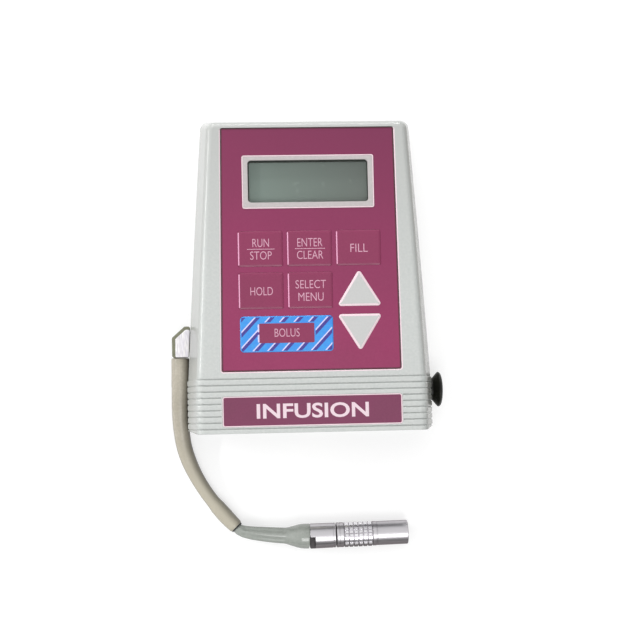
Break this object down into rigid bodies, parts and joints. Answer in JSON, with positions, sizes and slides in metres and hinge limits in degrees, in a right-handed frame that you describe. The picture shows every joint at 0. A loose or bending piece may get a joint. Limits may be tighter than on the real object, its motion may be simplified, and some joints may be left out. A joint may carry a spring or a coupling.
{
  "type": "infusion pump",
  "caption": "Hand-held infusion pump in a flat tapered case with a membrane keypad, display, ribbed foot, cassette latch knob and a short lead with a circular metal socket.",
  "frame": {"origin": "middle of the flat back face, halfway along the case", "axes": "+Z out of the display, +Y to the pump's top end, +X to the right of the display, where the latch knob is"},
  "size_m": [0.1, 0.1567, 0.028],
  "materials": {
    "case": "fine moulded texture, pale grey",
    "panel": "satin printed polyester film, plum",
    "dose_blue": "satin printed polyester film, blue with stripes",
    "arrow_white": "satin printed polyester film, pale grey",
    "bezel": "satin printed film, pale grey",
    "window": "clear polycarbonate",
    "display": "reflective liquid crystal glass",
    "black": "moulded black, satin",
    "rubber": "matt elastomer",
    "film": "polyester film",
    "board": "green solder resist on glass fibre",
    "steel": "plain stainless steel",
    "brass": "turned brass",
    "gear": "natural acetal",
    "frame": "dark glass-filled plastic",
    "battery": null,
    "hood": "translucent moulded plastic",
    "sleeve": "beige-grey cable jacket, satin",
    "boot": "grey-green moulded bend relief",
    "chrome": "satin chrome on brass"
  },
  "bodies": {
    "case": {"base_plate": "frame", "battery": "battery", "battery_connector": "black", "bracket_insert": "brass", "buzzer": "black", "camshaft_bearing_left": "brass", "camshaft_bearing_right": "brass", "case_screw_1": "steel", "case_screw_2": "steel", "case_screw_3": "steel", "case_screw_4": "steel", "connector_insert": "frame", "connector_nut": "chrome", "connector_shell": "chrome", "control_board": "board", "cord": "sleeve", "cord_boot": "boot", "display_bezel": "bezel", "display_holder": "frame", "display_panel": "display", "display_strip": "rubber", "display_window": "window", "dome_sheet": "film", "expulsor_spring": "steel", "front_housing": "case", "hinge_pin_front": "steel", "hinge_pin_rear": "steel", "housing_seal": "rubber", "idler_pin": "steel", "inlet_valve_spring": "steel", "keypad_circuit": "film", "keypad_overlay": "panel", "latch_spring": "steel", "mechanism_frame": "frame", "motor": "steel", "name_label": "panel", "outlet_valve_spring": "steel", "plug_hood": "hood", "port_socket": "black", "rear_housing": "case"},
    "door": {"battery_door": "case"},
    "camshaft": {"camshaft": "steel", "cam_gear": "gear"},
    "idler": {"idler_gear": "gear"},
    "motor_pinion": {"motor_pinion": "gear"},
    "expulsor": {"expulsor": "gear"},
    "inlet_valve": {"inlet_valve": "gear"},
    "outlet_valve": {"outlet_valve": "gear"},
    "latch_slide": {"latch_collar": "brass"},
    "latch_turn": {"latch_knob": "black", "latch_shaft": "steel", "latch_hook": "steel"},
    "key_stop_run": {"key_stop_run": "panel"},
    "key_enter": {"key_enter": "panel"},
    "key_fill": {"key_fill": "panel"},
    "key_lock": {"key_lock": "panel"},
    "key_mode": {"key_mode": "panel"},
    "key_dose": {"key_dose": "dose_blue"},
    "key_up": {"key_up": "arrow_white"},
    "key_down": {"key_down": "arrow_white"}
  },
  "joints": [
    {"name": "press_stop_run", "type": "slide", "parent": "case", "child": "key_stop_run", "axis": [0, 0, -1], "range_m": [0, 0.0004], "stiffness_N_per_m": 4000},
    {"name": "press_enter", "type": "slide", "parent": "case", "child": "key_enter", "axis": [0, 0, -1], "range_m": [0, 0.0004], "stiffness_N_per_m": 4000},
    {"name": "press_fill", "type": "slide", "parent": "case", "child": "key_fill", "axis": [0, 0, -1], "range_m": [0, 0.0004], "stiffness_N_per_m": 4000},
    {"name": "press_lock", "type": "slide", "parent": "case", "child": "key_lock", "axis": [0, 0, -1], "range_m": [0, 0.0004], "stiffness_N_per_m": 4000},
    {"name": "press_mode", "type": "slide", "parent": "case", "child": "key_mode", "axis": [0, 0, -1], "range_m": [0, 0.0004], "stiffness_N_per_m": 4000},
    {"name": "press_dose", "type": "slide", "parent": "case", "child": "key_dose", "axis": [0, 0, -1], "range_m": [0, 0.0004], "stiffness_N_per_m": 4000},
    {"name": "press_up", "type": "slide", "parent": "case", "child": "key_up", "axis": [0, 0, -1], "range_m": [0, 0.0004], "stiffness_N_per_m": 4000},
    {"name": "press_down", "type": "slide", "parent": "case", "child": "key_down", "axis": [0, 0, -1], "range_m": [0, 0.0004], "stiffness_N_per_m": 4000},
    {"name": "door_slide", "type": "slide", "parent": "case", "child": "door", "axis": [0, 1, 0], "range_m": [0, 0.03]},
    {"name": "camshaft_spin", "type": "hinge", "parent": "case", "child": "camshaft", "pos_m": [0, -0.0415, 0.012], "axis": [1, 0, 0], "continuous": true},
    {"name": "idler_spin", "type": "hinge", "parent": "case", "child": "idler", "pos_m": [0.025, -0.03132, 0.012], "axis": [1, 0, 0], "continuous": true},
    {"name": "motor_spin", "type": "hinge", "parent": "case", "child": "motor_pinion", "pos_m": [0.02, -0.02115, 0.012], "axis": [1, 0, 0], "continuous": true},
    {"name": "expulsor_slide", "type": "slide", "parent": "case", "child": "expulsor", "axis": [0, -1, 0], "range_m": [0, 0.0018], "stiffness_N_per_m": 500, "deforming": ["expulsor_spring"]},
    {"name": "inlet_valve_slide", "type": "slide", "parent": "case", "child": "inlet_valve", "axis": [0, -1, 0], "range_m": [0, 0.0018], "stiffness_N_per_m": 500, "deforming": ["inlet_valve_spring"]},
    {"name": "outlet_valve_slide", "type": "slide", "parent": "case", "child": "outlet_valve", "axis": [0, -1, 0], "range_m": [0, 0.0018], "stiffness_N_per_m": 500, "deforming": ["outlet_valve_spring"]},
    {"name": "latch_push", "type": "slide", "parent": "case", "child": "latch_slide", "axis": [-1, 0, 0], "range_m": [0, 0.0009], "stiffness_N_per_m": 800, "deforming": ["latch_spring"]},
    {"name": "latch_rotate", "type": "hinge", "parent": "latch_slide", "child": "latch_turn", "pos_m": [0.04, -0.04235, 0.0082], "axis": [-1, 0, 0], "range_deg": [0, 90]}
  ],
  "couplings": [
    {"joint": "idler_spin", "follows": "camshaft_spin", "ratio": -2.0833},
    {"joint": "motor_spin", "follows": "camshaft_spin", "ratio": 4.3403}
  ]
}
